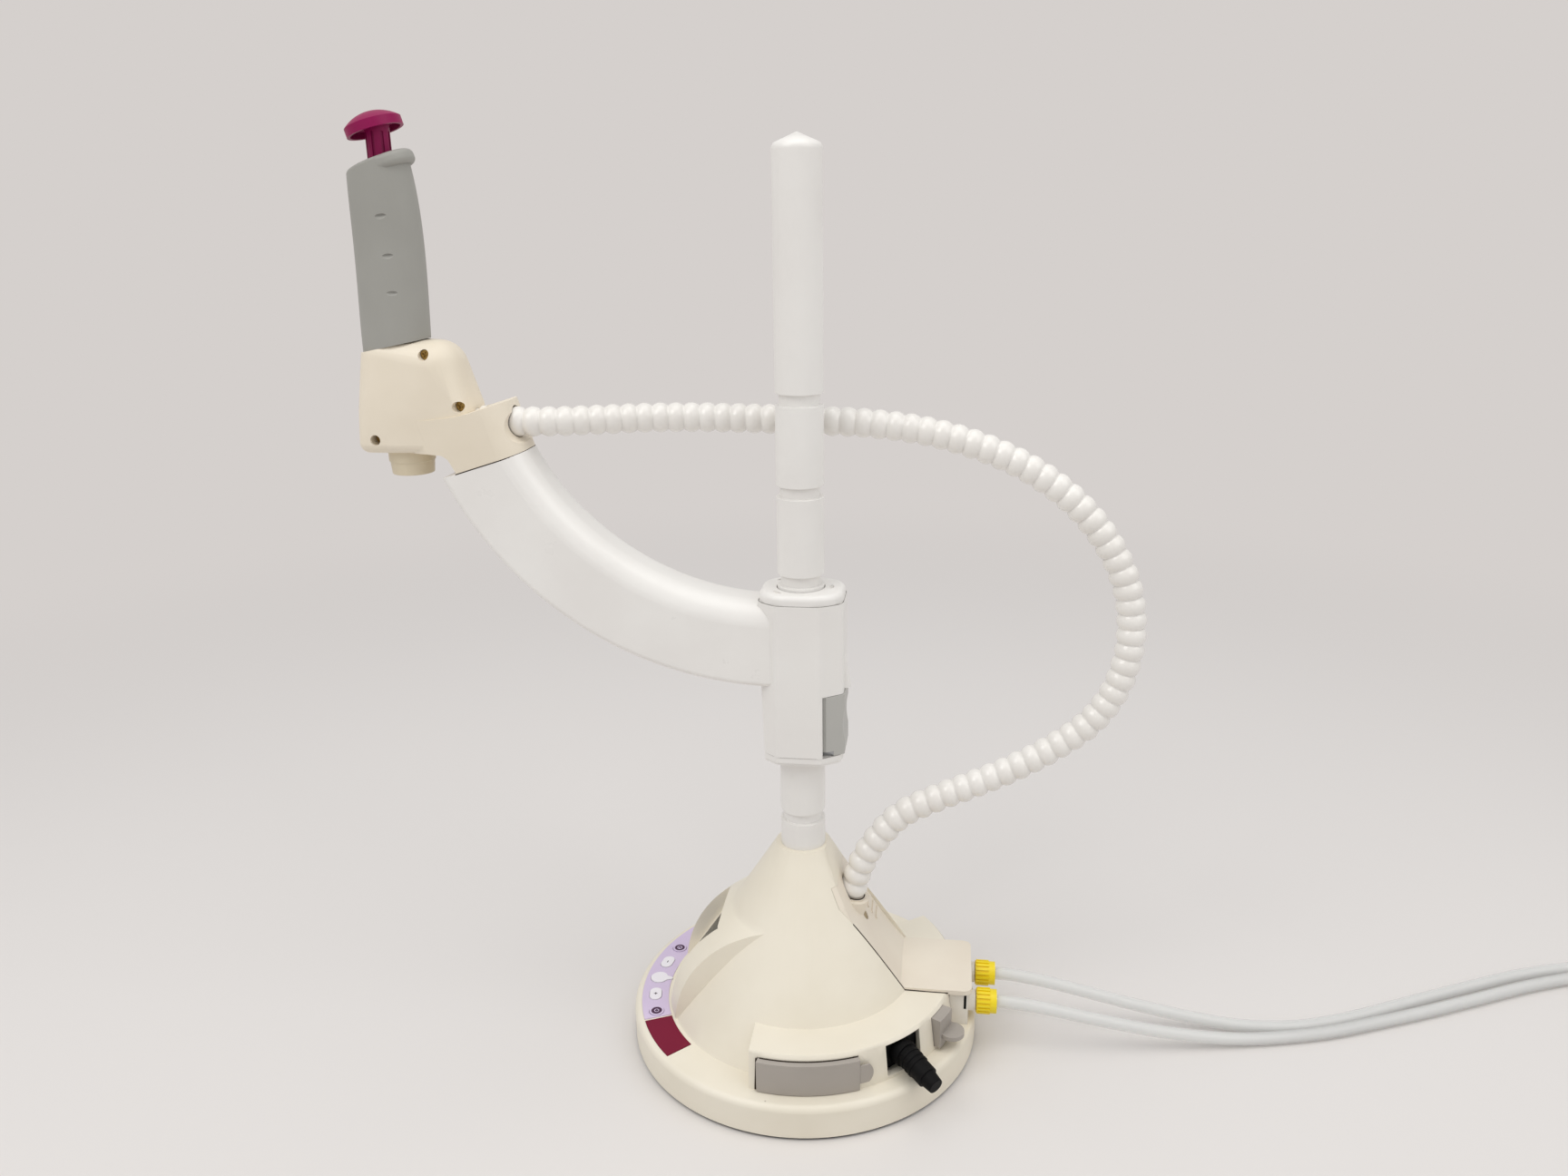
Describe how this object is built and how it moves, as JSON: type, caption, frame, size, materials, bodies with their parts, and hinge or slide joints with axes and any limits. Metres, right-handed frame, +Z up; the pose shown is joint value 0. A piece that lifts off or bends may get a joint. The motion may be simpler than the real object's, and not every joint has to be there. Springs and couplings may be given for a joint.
{
  "type": "laboratory water dispenser stand",
  "caption": "Bench dispenser of a laboratory water purification system: weighted cone base with display and keys, grooved post, sliding arm, hand-held dispensing gun on a ribbed hose.",
  "frame": {"origin": "centre of the base on the table", "axes": "+Z up along the post, the display and the gun towards -X, the water tubes leave at +X"},
  "size_m": [0.9034, 0.2269, 0.5609],
  "materials": {
    "cream": "moulded cream plastic",
    "white": "smooth white plastic",
    "post_white": "turned white plastic rod",
    "grey": "soft grey plastic",
    "magenta": "magenta plastic",
    "label_lilac": "printed lilac film",
    "label_magenta": "printed magenta film, left bare",
    "key": "printed key film",
    "steel": "plain steel",
    "rubber": "black rubber",
    "yellow": "yellow plastic",
    "black": "black plastic",
    "board": "green circuit board",
    "brass": "brass standoff",
    "window": "smoked clear window",
    "screen": "dark display",
    "tube": "translucent tube",
    "hose": "white ribbed hose",
    "strap": "hook and loop strap"
  },
  "bodies": {
    "base": {"base_pad": "rubber", "base_plate": "steel", "base_screws": "steel", "base_shell": "cream", "post": "post_white", "post_bolt": "steel", "keypad_label": "label_lilac", "plain_label": "label_magenta", "key_board": "board", "display_window": "window", "display_module": "screen", "control_board": "board", "board_standoffs": "brass", "port_socket": "black", "rear_cover": "cream", "rear_cover_screw": "steel", "connector_block": "white", "hose_gland": "white", "hose": "hose", "feed_tube": "tube", "return_tube": "tube", "feed_coil": "tube", "return_coil": "tube", "coil_tie": "strap"},
    "key_1": {"key_1": "key"},
    "key_2": {"key_2": "key"},
    "key_3": {"key_3": "key"},
    "key_4": {"key_4": "key"},
    "key_5": {"key_5": "key"},
    "wide_cover": {"wide_port_cover": "grey"},
    "small_cover": {"small_port_cover": "grey"},
    "plug": {"port_plug": "black"},
    "feed_nut": {"feed_nut": "yellow"},
    "return_nut": {"return_nut": "yellow"},
    "carriage": {"slide_bush": "white"},
    "arm": {"sleeve": "white", "sleeve_cap": "white", "sleeve_ring": "white", "latch_spring": "steel", "arm": "white", "arm_bolts": "steel", "gun_peg": "white"},
    "latch": {"release_button": "grey", "latch_plate": "steel"},
    "gun": {"head_near": "cream", "head_far": "cream", "head_screws": "steel", "grip": "grey", "grip_core": "white", "valve_body": "white", "nozzle": "cream", "nozzle_seal": "rubber", "hose_cuff": "white", "return_spring": "steel"},
    "plunger": {"plunger": "magenta", "plunger_rod": "steel", "valve_poppet": "rubber"}
  },
  "joints": [
    {"name": "arm_height", "type": "slide", "parent": "base", "child": "carriage", "axis": [0, 0, 1], "range_m": [-0.052, 0.208], "deforming": ["hose"]},
    {"name": "arm_swivel", "type": "hinge", "parent": "carriage", "child": "arm", "pos_m": [0, 0, 0.24], "axis": [0, 0, 1], "range_deg": [-45, 45], "deforming": ["hose"]},
    {"name": "gun_lift", "type": "slide", "parent": "arm", "child": "gun", "axis": [-0.299, 0, 0.9542], "range_m": [0, 0.08], "deforming": ["hose"]},
    {"name": "plunger_press", "type": "slide", "parent": "gun", "child": "plunger", "axis": [0, 0, -1], "range_m": [0, 0.008], "stiffness_N_per_m": 500, "springref_m": -0.008, "deforming": ["return_spring"]},
    {"name": "button_press", "type": "slide", "parent": "arm", "child": "latch", "axis": [-1, 0, 0], "range_m": [0, 0.0016], "stiffness_N_per_m": 2000, "springref_m": -0.002, "deforming": ["latch_spring"]},
    {"name": "feed_nut_turn", "type": "hinge", "parent": "base", "child": "feed_nut", "pos_m": [0.116, 0.0145, 0.033], "axis": [1, 0, 0], "continuous": true},
    {"name": "return_nut_turn", "type": "hinge", "parent": "base", "child": "return_nut", "pos_m": [0.116, -0.0145, 0.033], "axis": [1, 0, 0], "continuous": true},
    {"name": "wide_cover_pull", "type": "slide", "parent": "base", "child": "wide_cover", "axis": [0.1357, -0.9907, 0], "range_m": [0, 0.04]},
    {"name": "small_cover_pull", "type": "slide", "parent": "base", "child": "small_cover", "axis": [0.8957, -0.4446, 0], "range_m": [0, 0.04]},
    {"name": "plug_pull", "type": "slide", "parent": "base", "child": "plug", "axis": [0.6921, -0.7218, 0], "range_m": [0, 0.04]},
    {"name": "key_1_press", "type": "slide", "parent": "base", "child": "key_1", "axis": [0, 0, -1], "range_m": [0, 0.0005], "stiffness_N_per_m": 800, "springref_m": -0.0005},
    {"name": "key_2_press", "type": "slide", "parent": "base", "child": "key_2", "axis": [0, 0, -1], "range_m": [0, 0.0005], "stiffness_N_per_m": 800, "springref_m": -0.0005},
    {"name": "key_3_press", "type": "slide", "parent": "base", "child": "key_3", "axis": [0, 0, -1], "range_m": [0, 0.0005], "stiffness_N_per_m": 800, "springref_m": -0.0005},
    {"name": "key_4_press", "type": "slide", "parent": "base", "child": "key_4", "axis": [0, 0, -1], "range_m": [0, 0.0005], "stiffness_N_per_m": 800, "springref_m": -0.0005},
    {"name": "key_5_press", "type": "slide", "parent": "base", "child": "key_5", "axis": [0, 0, -1], "range_m": [0, 0.0005], "stiffness_N_per_m": 800, "springref_m": -0.0005}
  ]
}
